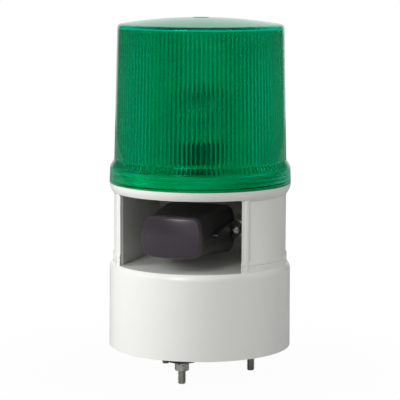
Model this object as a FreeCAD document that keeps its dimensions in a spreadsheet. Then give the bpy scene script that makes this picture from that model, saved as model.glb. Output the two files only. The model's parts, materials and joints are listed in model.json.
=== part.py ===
"""Revolving warning light over a siren horn, in one round housing on three studs.

Millimetres. The origin is at the centre of the mounting face, +Z up, and the siren's
window faces -Y.
"""

import FreeCAD, Part
import math
import os
import re
import Sketcher

doc = FreeCAD.newDocument("WarningLight")
Vector = FreeCAD.Vector

SIZES = {
    # base housing
    "base_foot_radius": 69.9,
    "base_draft": 0.35,
    "base_wall": 4.0,
    "base_height": 64.8,
    "shoulder_drop": 5.4,
    "shoulder_inset": 2.3,
    "shoulder_radius": 7.3,
    "deck_thickness": 3.0,
    "plate_ledge": 1.0,
    # base plate and its gasket
    "plate_thickness": 2.0,
    "plate_clearance": 0.3,
    "plate_gasket_thickness": 1.0,
    "plate_gasket_width": 4.0,
    "base_screw_inset": 11.9,
    "base_boss_radius": 4.5,
    "base_screw_radius": 2.0,
    "screw_head_height": 2.2,
    "screw_head_ratio": 1.9,
    "screw_depth": 12.0,
    "screw_clearance": 0.1,
    # mounting hardware
    "stud_radius": 3.0,
    "stud_inset": 29.1,
    "stud_drop": 23.5,
    "stud_free_length": 10.0,
    "stud_relief": 0.3,
    "stud_head_height": 4.0,
    "nut_flats": 10.0,
    "nut_height": 5.0,
    "rubber_radius": 12.0,
    "rubber_height": 5.8,
    "steel_washer_radius": 6.25,
    "steel_washer_height": 1.2,
    "spring_washer_radius": 5.3,
    "spring_washer_height": 1.2,
    "washer_clearance": 0.15,
    # cable inlet
    "inlet_radius": 8.0,
    "inlet_lip": 2.5,
    "inlet_wall": 2.0,
    "grommet_rim": 2.0,
    # middle housing
    "body_inset": 3.55,
    "body_wall": 2.3,
    "band_step": 0.9,
    "band_chamfer": 1.6,
    "band_height": 6.9,
    "band_groove": 0.6,
    "band_groove_height": 4.6,
    "window_height": 54.5,
    "ceiling_thickness": 3.0,
    "lip_drop": 1.5,
    "lip_height": 8.2,
    "lip_inset": 0.05,
    "lip_curve": 12.7,
    "collar_inset": 3.2,
    "collar_wall": 2.6,
    "collar_height": 11.0,
    "window_inset": 17.8,
    "cheek_thickness": 3.5,
    "post_radius": 2.7,
    "post_reach": 1.3,
    "post_lap": 1.0,
    "duct_radius": 4.0,
    "duct_inset": 9.0,
    "duct_wall": 1.2,
    "duct_rim": 1.0,
    "duct_rim_height": 1.5,
    "cheek_boss_inset": 8.8,
    "cheek_boss_y": 18.0,
    "cheek_boss_radius": 3.9,
    "cheek_boss_height": 14.0,
    "cheek_boss_roof": 2.0,
    "chassis_boss_inset": 12.3,
    "chassis_boss_radius": 4.5,
    "chassis_screw_depth": 3.0,
    "bracket_boss_x": 18.0,
    "bracket_boss_radius": 4.5,
    "bracket_hole_depth": 8.0,
    # lens and its gasket
    "gasket_gap": 0.6,
    "gasket_width": 1.6,
    "gasket_groove": 1.2,
    "gasket_proud": 0.35,
    "lens_overhang": 0.05,
    "lens_flange_height": 12.25,
    "lens_flange_draft": 0.55,
    "lens_flare_height": 5.0,
    "lens_flare_inset": 3.65,
    "lens_taper": 2.5,
    "lens_wall_height": 102.6,
    "lens_crown_rise": 5.7,
    "lens_thickness": 2.4,
    "lens_edge_radius": 3.0,
    "lens_edge_reach": 2.45,
    "lens_flare_radius": 3.5,
    "lens_flare_reach": 0.85,
    "thread_clearance": 0.35,
    "rib_count": 120,
    "rib_depth": 0.5,
    "rib_share": 1.02,
    "rib_lap": 0.3,
    "rib_margin": 1.0,
    # lamp
    "chassis_inset": 5.3,
    "chassis_stand": 1.7,
    "chassis_thickness": 2.0,
    "wire_hole_radius": 3.0,
    "pillar_radius": 8.0,
    "pillar_foot_radius": 12.0,
    "pillar_foot_height": 3.0,
    "pillar_height": 21.0,
    "bearing_thickness": 2.0,
    "bearing_stand": 8.0,
    "bearing_height": 12.0,
    "bearing_flange": 1.5,
    "running_clearance": 0.05,
    "socket_radius": 9.6,
    "socket_height": 15.0,
    "socket_bore_radius": 7.7,
    "socket_floor": 2.0,
    "bulb_cap_radius": 7.5,
    "bulb_cap_height": 16.0,
    "bulb_cap_bevel": 1.5,
    "bulb_cap_bevel_height": 2.0,
    "bulb_radius": 11.0,
    "bulb_neck_radius": 7.0,
    "bulb_rise": 37.0,
    "bulb_glass": 0.8,
    "filament_radius": 0.8,
    "filament_width": 9.0,
    "support_proud": 2.0,
    "support_radius": 0.5,
    "turntable_stand": 2.0,
    "turntable_hub_radius": 14.0,
    "turntable_height": 8.0,
    "gear_height": 3.0,
    "gear_module": 0.8,
    "gear_teeth": 40,
    "pinion_teeth": 20,
    "gear_slack": 0.1,
    "tooth_share": 0.42,
    "tooth_root_share": 0.62,
    "tooth_tip_share": 0.3,
    "tooth_root_depth": 0.96,
    "tooth_height": 0.72,
    "reflector_radius": 17.0,
    "reflector_thickness": 1.0,
    "reflector_height": 60.0,
    "reflector_crown_radius": 9.0,
    "reflector_bend_drop": 14.0,
    "reflector_curve": 17.0,
    "reflector_foot": 1.5,
    "reflector_gap": 0.3,
    "motor_radius": 11.5,
    "motor_height": 9.5,
    "motor_angle": 130.0,
    "motor_shaft_radius": 1.0,
    "motor_shaft_depth": 5.0,
    "motor_shaft_gap": 0.3,
    "motor_shaft_proud": 1.2,
    "motor_ear": 14.5,
    "motor_ear_radius": 3.2,
    "motor_ear_thickness": 1.2,
    "motor_screw_radius": 1.3,
    "reflector_turn": 0.0,
    "reflector_sweep": 190.0,
    # siren
    "horn_axis_rise": 27.1,
    "horn_setback": 3.5,
    "horn_rear": -3.0,
    "horn_front_share": 0.988,
    "horn_front_height": 31.6,
    "horn_rear_share": 1.23,
    "horn_rear_height": 38.0,
    "horn_rear_sag": 0.7,
    "horn_side_lean": 17.0,
    "horn_top_lean": 4.0,
    "horn_corner": 7.0,
    "horn_wall": 2.6,
    "driver_cavity": 14.0,
    "horn_partition": 3.0,
    "throat_width": 12.0,
    "throat_corner": 5.0,
    "throat_step": 1.0,
    "fin_lap": 3.0,
    "fin_share": 0.618,
    "ear_radius": 6.3,
    "ear_setback": 9.0,
    "ear_thickness": 7.0,
    "ear_screw_inset": 3.3,
    "siren_head_gap": 0.4534,
    "fin_radius": 6.1,
    "fin_back": -8.2,
    "fin_tip_setback": 17.5,
    "fin_tip_radius": 1.2,
    "fin_side_curve": 120.0,
    "cap_depth": 7.2,
    "cap_edge": 2.8,
    "cap_crown_rise": 5.65733,
    "magnet_share": 0.26,
    "magnet_height": 7.0,
    "driver_plate_step": 1.0,
    "driver_plate_height": 2.0,
    "diaphragm_step": 0.5,
    "diaphragm_thickness": 0.6,
    "spigot_inset": 1.0,
    "siren_screw_radius": 1.5,
    "siren_screw_reach": 2.0,
    "bracket_gap": 0.6,
    "bracket_thickness": 2.0,
    "bracket_width": 12.0,
    "bracket_room": 6.0,
    "bracket_screw_reach": 7.0,
    # electronics
    "board_share": 1.2017,
    "board_room": 2.5,
    "board_corner": 4.0,
    "board_thickness": 1.6,
    "board_height": 22.0,
    "standoff_radius": 3.2,
    "standoff_inset": 3.9,
    "board_screw_radius": 1.5,
    "board_screw_length": 8.0,
    "transformer_width": 28.0,
    "transformer_depth": 24.0,
    "transformer_height": 20.0,
    "transformer_x": -14.0,
    "transformer_y": 6.0,
    "capacitor_radius": 5.0,
    "capacitor_height": 14.0,
    "capacitor_x": 14.0,
    "capacitor_y": 3.0,
    "capacitor_step_x": 13.0,
    "capacitor_step_y": 7.0,
    "terminal_width": 36.0,
    "terminal_depth": 11.0,
    "terminal_height": 13.0,
    "terminal_inset": 8.0,
    "well_radius": 2.0,
    "well_depth": 4.0,
}

TIED = {
    # radii and places that follow the base
    "base_top_radius": "base_foot_radius - base_draft",
    "base_screw_circle": "base_foot_radius - base_screw_inset",
    "stud_circle": "base_foot_radius - stud_inset",
    "body_radius": "base_top_radius - body_inset",
    "band_radius": "body_radius + band_step",
    "lip_radius": "base_top_radius - lip_inset",
    "collar_radius": "lip_radius - collar_inset",
    "gasket_inner_radius": "collar_radius + gasket_gap",
    "window_half_width": "body_radius - window_inset",
    "duct_place": "body_radius - duct_inset",
    "cheek_boss_x": "body_radius - cheek_boss_inset",
    "chassis_boss_circle": "collar_radius - chassis_boss_inset",
    "chassis_radius": "collar_radius - chassis_inset",
    "lens_flange_radius": "lip_radius + lens_overhang",
    "lens_flange_top_radius": "lens_flange_radius - lens_flange_draft",
    "lens_wall_radius": "lens_flange_radius - lens_flare_inset",
    "lens_crown_radius": "lens_wall_radius - lens_taper",
    # heights that follow the base
    "ceiling_height": "base_height + window_height",
    "lip_bottom": "ceiling_height - lip_drop",
    "lip_top": "lip_bottom + lip_height",
    "collar_top": "lip_top + collar_height",
    "lens_foot": "lip_top + gasket_proud",
    "lens_flange_top": "lens_foot + lens_flange_height",
    "lens_flare_top": "lens_flange_top + lens_flare_height",
    "lens_crown_height": "lens_flare_top + lens_wall_height",
    "lens_apex_height": "lens_crown_height + lens_crown_rise",
    "dome_radius": "(lens_crown_radius^2 + lens_crown_rise^2) / (2 * lens_crown_rise)",
    "chassis_height": "ceiling_height + ceiling_thickness + chassis_stand",
    "chassis_top": "chassis_height + chassis_thickness",
    "pillar_top": "chassis_top + pillar_height",
    "bearing_bottom": "chassis_top + bearing_stand",
    "turntable_bottom": "bearing_bottom + turntable_stand",
    "turntable_top": "turntable_bottom + turntable_height",
    "bulb_centre": "pillar_top + bulb_rise",
    "reflector_crown": "turntable_top + reflector_height",
    "reflector_bend": "reflector_crown - reflector_bend_drop",
    "horn_axis_height": "base_height + horn_axis_rise",
    # the siren fits the window
    "horn_front": "horn_setback - body_radius",
    "horn_front_width": "window_half_width * horn_front_share",
    "horn_rear_width": "window_half_width * horn_rear_share",
    "fin_root": "horn_front_width/2 - fin_lap",
    "fin_outer": "window_half_width * fin_share",
    "cap_crown": "(horn_front_width^2 + horn_front_height^2 + 4*cap_crown_rise^2) / (8*cap_crown_rise)",
    "fin_tip": "horn_front + fin_tip_setback",
    "ear_front": "horn_rear - ear_setback",
    "ear_back": "ear_front + ear_thickness",
    "ear_screw_x": "fin_outer + siren_head_gap + siren_screw_radius * screw_head_ratio",
    "ear_end": "ear_screw_x + ear_screw_inset",
    "magnet_radius": "horn_front_width * magnet_share",
    "driver_plate_radius": "magnet_radius + driver_plate_step",
    "diaphragm_radius": "magnet_radius + diaphragm_step",
    "bracket_outer": "ear_end + bracket_gap",
    "bracket_web": "sqrt((body_radius - body_wall)^2 - bracket_outer^2) - bracket_room",
    # the board fits between the bosses of the base
    "board_width": "base_foot_radius * board_share",
    "board_depth": "2 * (base_screw_circle/sqrt(2) - base_boss_radius - board_room)",
    "standoff_x": "board_width/2 - standoff_inset",
    "standoff_y": "board_depth/2 - standoff_inset",
    "terminal_y": "terminal_inset - board_depth/2",
}

sizes = doc.addObject("Spreadsheet::Sheet", "Sizes")
for row, (alias, value) in enumerate({**SIZES, **TIED}.items(), start=1):
    sizes.set(f"A{row}", alias.replace("_", " "))
    sizes.set(f"B{row}", f"={value}")
    sizes.setAlias(f"B{row}", alias)
doc.recompute()

ALIAS = re.compile(r"\b(" + "|".join(sorted({**SIZES, **TIED}, key=len, reverse=True)) + r")\b")


def bound(text):
    """An expression in plain size names, as the document reads it."""
    return ALIAS.sub(r"Sizes.\1", str(text))


def size(text):
    """The present value of an expression in plain size names."""
    return float(sizes.evalExpression(bound(text)))


def new_body(label):
    body = doc.addObject("PartDesign::Body", label)
    body.Label = label
    body.AllowCompound = True
    return body


def new_sketch(body, plane, offset="0"):
    """A sketch on an origin plane, moved along that plane's normal by offset."""
    sketch = body.newObject("Sketcher::SketchObject", body.Name + "_sketch")
    support = [feature for feature in body.Origin.OriginFeatures if feature.Role == plane]
    sketch.AttachmentSupport = [(support[0], "")]
    sketch.MapMode = "FlatFace"
    sketch.setExpression("AttachmentOffset.Base.z", bound(offset))
    return sketch


def pin_point(sketch, geometry, end, across, up):
    """Tie one end of a line or the centre of a circle to two expressions."""
    for kind, text in (("DistanceX", across), ("DistanceY", up)):
        constraint = Sketcher.Constraint(kind, -1, 1, geometry, end, size(text))
        index = sketch.addConstraint(constraint)
        sketch.setExpression(f"Constraints[{index}]", bound(text))


def arc_middle(start, end, radius):
    """The middle of the arc from start to end. A negative radius bulges right."""
    chord = end - start
    half = chord.Length / 2
    rise = abs(radius) - math.sqrt(max(radius * radius - half * half, 0.0))
    left = Vector(-chord.y, chord.x, 0).normalize()
    side = left if radius > 0 else left.negative()
    return (start + end) / 2 + side * rise


def draw_outline(sketch, corners):
    """A closed outline. A corner is (across, up), or (across, up, radius of the arc
    that leaves it), and each value is an expression."""
    places = [Vector(size(corner[0]), size(corner[1]), 0) for corner in corners]
    first = sketch.GeometryCount
    ends = []
    for index, corner in enumerate(corners):
        here = places[index]
        there = places[(index + 1) % len(places)]
        if len(corner) == 2:
            geometry = sketch.addGeometry(Part.LineSegment(here, there))
            ends.append((1, 2))
            continue
        radius = size(corner[2])
        middle = arc_middle(here, there, radius)
        curve = Part.Arc(here, middle, there)
        geometry = sketch.addGeometry(curve)
        starts_here = sketch.getPoint(geometry, 1).distanceToPoint(here) < 1e-6
        ends.append((1, 2) if starts_here else (2, 1))
        fixed = sketch.addConstraint(Sketcher.Constraint("Radius", geometry, abs(radius)))
        sketch.setExpression(f"Constraints[{fixed}]", bound(f"abs({corner[2]})"))
    for index, corner in enumerate(corners):
        following = (index + 1) % len(corners)
        joined = Sketcher.Constraint(
            "Coincident", first + index, ends[index][1], first + following, ends[following][0]
        )
        sketch.addConstraint(joined)
    for index, corner in enumerate(corners):
        pin_point(sketch, first + index, ends[index][0], corner[0], corner[1])


def draw_circle(sketch, across, up, radius):
    centre = Vector(size(across), size(up), 0)
    circle = Part.Circle(centre, Vector(0, 0, 1), size(radius))
    geometry = sketch.addGeometry(circle)
    pin_point(sketch, geometry, 3, across, up)
    fixed = sketch.addConstraint(Sketcher.Constraint("Radius", geometry, size(radius)))
    sketch.setExpression(f"Constraints[{fixed}]", bound(radius))


def draw_box(sketch, left, low, right, high):
    draw_outline(sketch, [(left, low), (right, low), (right, high), (left, high)])


def rounded_box_corners(width, height, corner, middle="0"):
    """The outline of a rounded rectangle, centred across and at middle up."""
    side, top = f"({width})/2", f"({height})/2"
    low, high = f"{middle} - {top}", f"{middle} + {top}"
    bend = f"-({corner})"
    return [
        (f"-{side} + {corner}", low),
        (f"{side} - {corner}", low, bend),
        (side, f"{low} + {corner}"),
        (side, f"{high} - {corner}", bend),
        (f"{side} - {corner}", high),
        (f"-{side} + {corner}", high, bend),
        (f"-{side}", f"{high} - {corner}"),
        (f"-{side}", f"{low} + {corner}", bend),
    ]


def cushion_corners(width, height, corner, middle):
    """A rounded box whose sides and top swell outwards and run smoothly into its corners.
    Width and height are its full extents."""
    lean, tilt = "(horn_side_lean * 1 deg)", "(horn_top_lean * 1 deg)"
    swell = f"tan({tilt}/2)"
    side = (f"((({height})/2 - {corner} * (1 - sin({lean}) - {swell} * cos({lean}))"
            f" - {swell} * ({width})/2) / (sin({lean}) - {swell} * (1 - cos({lean}))))")
    centre_x = f"(({width})/2 - {side} * (1 - cos({lean})) - {corner} * cos({lean}))"
    centre_z = f"(({side} - {corner}) * sin({lean}))"
    top = f"({centre_x} / sin({tilt}) + {corner})"
    side_x, side_z = f"({centre_x} + {corner} * cos({lean}))", f"({side} * sin({lean}))"
    top_x, top_z = f"({centre_x} + {corner} * sin({tilt}))", f"({centre_z} + {corner} * cos({tilt}))"
    return [
        (f"-{top_x}", f"{middle} - {top_z}", f"-{top}"),
        (top_x, f"{middle} - {top_z}", f"-{corner}"),
        (side_x, f"{middle} - {side_z}", f"-{side}"),
        (side_x, f"{middle} + {side_z}", f"-{corner}"),
        (top_x, f"{middle} + {top_z}", f"-{top}"),
        (f"-{top_x}", f"{middle} + {top_z}", f"-{corner}"),
        (f"-{side_x}", f"{middle} + {side_z}", f"-{side}"),
        (f"-{side_x}", f"{middle} - {side_z}", f"-{corner}"),
    ]


def extrude(body, sketch, length, cut=False, reverse=False):
    """A pad, or a pocket where cut is set. Both grow along the plane's normal."""
    kind = "PartDesign::Pocket" if cut else "PartDesign::Pad"
    feature = body.newObject(kind, body.Name + ("_pocket" if cut else "_pad"))
    feature.Profile = sketch
    feature.Type = "Length"
    feature.setExpression("Length", bound(length))
    feature.Reversed = (not reverse) if cut else reverse
    sketch.Visibility = False
    doc.recompute()
    return feature


def turn(body, sketch, angle=360.0, cut=False):
    """A revolution about the vertical axis of the sketch, or a groove."""
    kind = "PartDesign::Groove" if cut else "PartDesign::Revolution"
    feature = body.newObject(kind, body.Name + ("_groove" if cut else "_turned"))
    feature.Profile = sketch
    feature.ReferenceAxis = (sketch, ["V_Axis"])
    feature.Angle = angle
    sketch.Visibility = False
    doc.recompute()
    return feature


def turned(label, corners):
    """A body made by turning an outline of (radius, height) corners about Z."""
    body = new_body(label)
    sketch = new_sketch(body, "XZ_Plane")
    draw_outline(sketch, corners)
    turn(body, sketch)
    return body


def drum(label, radius, low, height, bore=None, across="0", along="0"):
    """A body with one cylinder, standing at a place, with an optional bore."""
    body = new_body(label)
    sketch = new_sketch(body, "XY_Plane", low)
    draw_circle(sketch, across, along, radius)
    if bore:
        draw_circle(sketch, across, along, bore)
    extrude(body, sketch, height)
    return body


def around(count, radius, start=-90.0):
    """The places of like things on a circle about Z, as pairs of expressions."""
    places = []
    for index in range(count):
        angle = start + 360.0 * index / count
        places.append((f"{radius} * cos({angle} deg)", f"{radius} * sin({angle} deg)"))
    return places


def stack(body, places, radius, low, height, cut=False, bore=None):
    """Equal cylinders at several places in one pad or pocket."""
    sketch = new_sketch(body, "XY_Plane", low)
    for across, along in places:
        draw_circle(sketch, across, along, radius)
        if bore:
            draw_circle(sketch, across, along, bore)
    return extrude(body, sketch, height, cut=cut)


def ring_corners(inner, outer, low, high):
    return [(inner, low), (outer, low), (outer, high), (inner, high)]


def make_base_housing():
    """The closed cup: tapered wall, rounded shoulder, deck, bosses and their holes."""
    ledge = "plate_thickness + plate_gasket_thickness"
    inner = "base_foot_radius - base_wall"
    body = turned("base_housing", [
        ("base_foot_radius - base_wall + plate_ledge", "0"),
        ("base_foot_radius", "0"),
        ("base_top_radius", "base_height - shoulder_drop", "-shoulder_radius"),
        ("base_top_radius - shoulder_inset", "base_height"),
        ("0", "base_height"),
        ("0", "base_height - deck_thickness"),
        (inner, "base_height - deck_thickness"),
        (inner, ledge),
        ("base_foot_radius - base_wall + plate_ledge", ledge),
    ])
    under_deck = "base_height - deck_thickness"
    bosses = around(4, "base_screw_circle", 45.0)
    stack(body, bosses, "base_boss_radius", ledge, f"{under_deck} - ({ledge})")
    stack(body, bosses, "base_screw_radius", ledge, "screw_depth", cut=True)
    stack(body, cheek_screw_places(), "base_screw_radius + screw_clearance", under_deck,
          "deck_thickness", cut=True)
    stack(body, duct_places(), "duct_radius + duct_wall", under_deck, "deck_thickness", cut=True)


def cheek_screw_places():
    return [(f"{x} * cheek_boss_x", f"{y} * cheek_boss_y") for x in (-1, 1) for y in (-1, 1)]


def duct_places():
    return [("-duct_place", "0"), ("duct_place", "0")]


def chassis_places():
    return around(3, "chassis_boss_circle", -90.0)


def make_middle_housing():
    """Side and back shell, ceiling, lip and threaded collar, open in front between
    two flat cheeks that end in round posts."""
    inner = "body_radius - body_wall"
    ceiling_top = "ceiling_height + ceiling_thickness"
    groove = "base_height + band_groove_height"
    body = turned("middle_housing", [
        (inner, "base_height"),
        ("band_radius", "base_height"),
        ("band_radius", f"{groove} - band_groove"),
        ("band_radius - band_groove", groove),
        ("band_radius", f"{groove} + band_groove"),
        ("band_radius", "base_height + band_height"),
        ("body_radius", "base_height + band_height + band_chamfer"),
        ("body_radius", "lip_bottom", "-lip_curve"),
        ("lip_radius", "lip_top"),
        ("gasket_inner_radius + gasket_width", "lip_top"),
        ("gasket_inner_radius + gasket_width", "lip_top - gasket_groove"),
        ("gasket_inner_radius", "lip_top - gasket_groove"),
        ("gasket_inner_radius", "lip_top"),
        ("collar_radius", "lip_top"),
        ("collar_radius", "collar_top"),
        ("collar_radius - collar_wall", "collar_top"),
        ("collar_radius - collar_wall", ceiling_top),
        ("0", ceiling_top),
        ("0", "ceiling_height"),
        (inner, "ceiling_height"),
    ])
    window = new_sketch(body, "XY_Plane", "base_height")
    draw_box(window, "-window_half_width", "-lip_radius", "window_half_width", "0")
    extrude(body, window, "ceiling_height - base_height", cut=True)
    post_x = "(window_half_width + cheek_thickness/2)"
    mid_shell = "(body_radius - body_wall/2)"
    back = f"sqrt({mid_shell}^2 - {post_x}^2)"
    post_r = "(body_radius + post_reach - post_radius)"
    front = f"sqrt({post_r}^2 - {post_x}^2)"
    cheeks = new_sketch(body, "XY_Plane", "base_height")
    draw_box(cheeks, "window_half_width", f"-{front}",
             "window_half_width + cheek_thickness", back)
    draw_box(cheeks, "-window_half_width - cheek_thickness", f"-{front}",
             "-window_half_width", back)
    extrude(body, cheeks, f"{ceiling_top} - base_height")
    posts = [(f"{sign}{post_x}", f"-{front}") for sign in ("-", "")]
    stack(body, posts, "post_radius", "base_height", "lip_bottom + post_lap - base_height")
    stack(body, cheek_screw_places(), "cheek_boss_radius", "base_height", "cheek_boss_height")
    stack(body, cheek_screw_places(), "base_screw_radius", "base_height",
          "cheek_boss_height - cheek_boss_roof", cut=True)
    stack(body, chassis_places(), "chassis_boss_radius", ceiling_top,
          f"chassis_height - ({ceiling_top})")
    stack(body, chassis_places(), "base_screw_radius",
          "chassis_height - chassis_screw_depth", "chassis_screw_depth", cut=True)
    stack(body, duct_places(), "duct_radius", "ceiling_height", "ceiling_thickness", cut=True)
    rests = new_sketch(body, "XZ_Plane", "-(bracket_web + bracket_thickness)")
    for sign in ("-", ""):
        draw_circle(rests, f"{sign}bracket_boss_x", "horn_axis_height", "bracket_boss_radius")
    reach = "sqrt((body_radius - body_wall/2)^2 - bracket_boss_x^2)"
    extrude(body, rests, f"{reach} - bracket_web - bracket_thickness", reverse=True)
    holes = new_sketch(body, "XZ_Plane", "-(bracket_web + bracket_thickness)")
    for sign in ("-", ""):
        draw_circle(holes, f"{sign}bracket_boss_x", "horn_axis_height", "base_screw_radius")
    extrude(body, holes, "bracket_hole_depth", cut=True, reverse=True)


def make_lens_gasket():
    fit = "screw_clearance"
    turned("lens_gasket", ring_corners(
        f"gasket_inner_radius + {fit}", f"gasket_inner_radius + gasket_width - {fit}",
        "lip_top - gasket_groove", "lip_top + gasket_proud"))


def make_lens():
    """The cup of the lens: screwed flange, flare, tapering wall and shallow dome."""
    thick = "lens_thickness"
    bore = "collar_radius + thread_clearance"
    flare = "(lens_flange_top_radius - lens_wall_radius) / lens_flare_height"
    taper = "lens_taper / lens_wall_height"
    dome_edge = "lens_crown_radius - lens_edge_reach"
    body = turned("lens", [
        (bore, "lens_foot"),
        ("lens_flange_radius", "lens_foot"),
        ("lens_flange_top_radius", "lens_flange_top"),
        (f"lens_wall_radius + {flare} * lens_flare_reach", "lens_flare_top - lens_flare_reach",
         "lens_flare_radius"),
        (f"lens_wall_radius - {taper} * lens_flare_reach", "lens_flare_top + lens_flare_reach"),
        (f"lens_crown_radius + {taper} * lens_edge_reach",
         "lens_crown_height - lens_edge_reach", "-lens_edge_radius"),
        (dome_edge, f"lens_apex_height - dome_radius + sqrt(dome_radius^2 - ({dome_edge})^2)",
         "-dome_radius"),
        ("0", "lens_apex_height"),
        ("0", f"lens_apex_height - {thick}", f"dome_radius - {thick}"),
        (f"lens_crown_radius - {thick}", f"lens_crown_height - {thick}"),
        (f"lens_wall_radius - {thick}", "lens_flare_top"),
        (bore, "lens_flange_top"),
    ])
    cut_ribs(body)


def cut_ribs(body):
    """Vertical V grooves all round the inner wall, which leave sharp ribs between them."""
    low = "lens_flare_top - rib_margin"
    rise = "(lens_wall_height - lens_thickness)"
    wall = f"(lens_wall_radius - lens_thickness + lens_taper * rib_margin / {rise})"
    half = f"(rib_share * pi * {wall} / rib_count * (1 + rib_lap/rib_depth))"
    sketch = new_sketch(body, "XY_Plane", low)
    draw_outline(sketch, [
        (f"{wall} - rib_lap", half),
        (f"{wall} - rib_lap", f"-{half}"),
        (f"{wall} + rib_depth", "0"),
    ])
    groove = extrude(body, sketch, rise, cut=True)
    groove.UseCustomVector = True
    groove.AlongSketchNormal = True
    groove.setExpression("Direction.x", bound("-lens_taper"))
    groove.setExpression("Direction.y", "0")
    groove.setExpression("Direction.z", bound(rise))
    groove.Reversed = False
    ribs = body.newObject("PartDesign::PolarPattern", "lens_ribs")
    ribs.Originals = [groove]
    ribs.Axis = (sketch, ["N_Axis"])
    ribs.Angle = 360
    ribs.setExpression("Occurrences", bound("rib_count"))
    body.Tip = ribs
    doc.recompute()


def make_base_plate():
    """The sheet steel floor that the studs stand in, with its gasket and screws."""
    edge = "base_foot_radius - base_wall + plate_ledge - plate_clearance"
    body = drum("base_plate", edge, "0", "plate_thickness")
    stack(body, around(3, "stud_circle"), "stud_radius + washer_clearance", "0",
          "plate_thickness", cut=True)
    screws = around(4, "base_screw_circle", 45.0)
    stack(body, screws, "base_screw_radius + screw_clearance", "0", "plate_thickness", cut=True)
    stack(body, [("0", "0")], "inlet_radius + inlet_wall", "0", "plate_thickness", cut=True)
    turned("base_gasket", ring_corners(
        f"{edge} - plate_gasket_width", edge, "plate_thickness",
        "plate_thickness + plate_gasket_thickness"))
    screw_set("base_screws", screws, "0", "base_screw_radius", "screw_depth", up=True)


def screw_set(label, places, seat, radius, length, up):
    """Pan-head screws with their heads under the seat (up) or over it (not up)."""
    body = new_body(label)
    head = f"({radius}) * screw_head_ratio"
    shank = f"{radius} - screw_clearance"
    if up:
        stack(body, places, head, f"{seat} - screw_head_height", "screw_head_height")
        stack(body, places, shank, seat, length)
        return body
    stack(body, places, head, seat, "screw_head_height")
    stack(body, places, shank, f"{seat} - ({length})", length)
    return body


def make_mounting():
    """Three studs with rubber, steel and spring washers and hexagon nuts."""
    places = around(3, "stud_circle")
    studs = new_body("mounting_studs")
    heads = new_sketch(studs, "XY_Plane", "plate_thickness")
    for across, along in places:
        draw_hexagon(heads, across, along, "nut_flats")
    extrude(studs, heads, "stud_head_height")
    stack(studs, places, "stud_radius", "-stud_drop", "stud_free_length")
    stack(studs, places, "stud_radius - stud_relief", "stud_free_length - stud_drop",
          "stud_drop - stud_free_length + plate_thickness")
    bore = "stud_radius + washer_clearance"
    low = "-rubber_height"
    stack(new_body("rubber_washers"), places, "rubber_radius", low, "rubber_height", bore=bore)
    low += " - steel_washer_height"
    stack(new_body("flat_washers"), places, "steel_washer_radius", low,
          "steel_washer_height", bore=bore)
    low += " - spring_washer_height"
    stack(new_body("spring_washers"), places, "spring_washer_radius", low,
          "spring_washer_height", bore=bore)
    nuts = new_body("hex_nuts")
    sketch = new_sketch(nuts, "XY_Plane", low + " - nut_height")
    for across, along in places:
        draw_hexagon(sketch, across, along, "nut_flats")
        draw_circle(sketch, across, along, bore)
    extrude(nuts, sketch, "nut_height")


def draw_hexagon(sketch, across, along, flats):
    corners = []
    for index in range(6):
        angle = 60 * index
        corners.append((f"{across} + {flats}/sqrt(3) * cos({angle} deg)",
                        f"{along} + {flats}/sqrt(3) * sin({angle} deg)"))
    draw_outline(sketch, corners)


def make_grommets():
    """The rubber cable inlet in the base plate and the two in the deck's ducts."""
    rim = "inlet_radius + inlet_wall + grommet_rim"
    wall = "inlet_radius + inlet_wall - screw_clearance"
    turned("cable_grommet", [
        ("inlet_radius", "-inlet_lip"),
        (rim, "-inlet_lip"),
        (rim, "0"),
        (wall, "0"),
        (wall, "plate_thickness"),
        (rim, "plate_thickness"),
        (rim, "plate_thickness + inlet_lip"),
        ("inlet_radius", "plate_thickness + inlet_lip"),
    ])
    ducts = new_body("duct_grommets")
    low = "base_height - deck_thickness"
    stack(ducts, duct_places(), "duct_radius + duct_wall + duct_rim",
          f"{low} - duct_rim_height", "duct_rim_height", bore="duct_radius")
    stack(ducts, duct_places(), "duct_radius + duct_wall - screw_clearance", low,
          "deck_thickness", bore="duct_radius")


def standoff_places():
    return [(f"{x} * standoff_x", f"{y} * standoff_y") for x in (-1, 1) for y in (-1, 1)]


def make_electronics():
    """The circuit board on its standoffs, with what drives the siren and the lamp."""
    low = "plate_thickness"
    stack(new_body("board_standoffs"), standoff_places(), "standoff_radius", low,
          f"board_height - {low}", bore="board_screw_radius")
    board = new_body("circuit_board")
    sketch = new_sketch(board, "XY_Plane", "board_height")
    draw_outline(sketch, rounded_box_corners("board_width", "board_depth", "board_corner"))
    extrude(board, sketch, "board_thickness")
    stack(board, standoff_places(), "board_screw_radius + screw_clearance", "board_height",
          "board_thickness", cut=True)
    top = "board_height + board_thickness"
    screw_set("board_screws", standoff_places(), top, "board_screw_radius",
              "board_screw_length", up=False)
    block("transformer", "transformer_x", "transformer_y", top, "transformer_width",
          "transformer_depth", "transformer_height")
    caps = [("capacitor_x", "capacitor_y + capacitor_step_y"),
            ("capacitor_x", "capacitor_y - capacitor_step_y"),
            ("capacitor_x + capacitor_step_x", "capacitor_y")]
    stack(new_body("capacitors"), caps, "capacitor_radius", top, "capacitor_height")
    terminal = block("terminal_block", "0", "terminal_y", top, "terminal_width",
                     "terminal_depth", "terminal_height")
    wells = [(f"{index} * terminal_width/6", "terminal_y") for index in (-2, -1, 0, 1, 2)]
    stack(terminal, wells, "well_radius", f"{top} + terminal_height - well_depth",
          "well_depth", cut=True)


def block(label, across, along, low, width, depth, height):
    body = new_body(label)
    sketch = new_sketch(body, "XY_Plane", low)
    draw_box(sketch, f"{across} - {width}/2", f"{along} - {depth}/2",
             f"{across} + {width}/2", f"{along} + {depth}/2")
    extrude(body, sketch, height)
    return body


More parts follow.
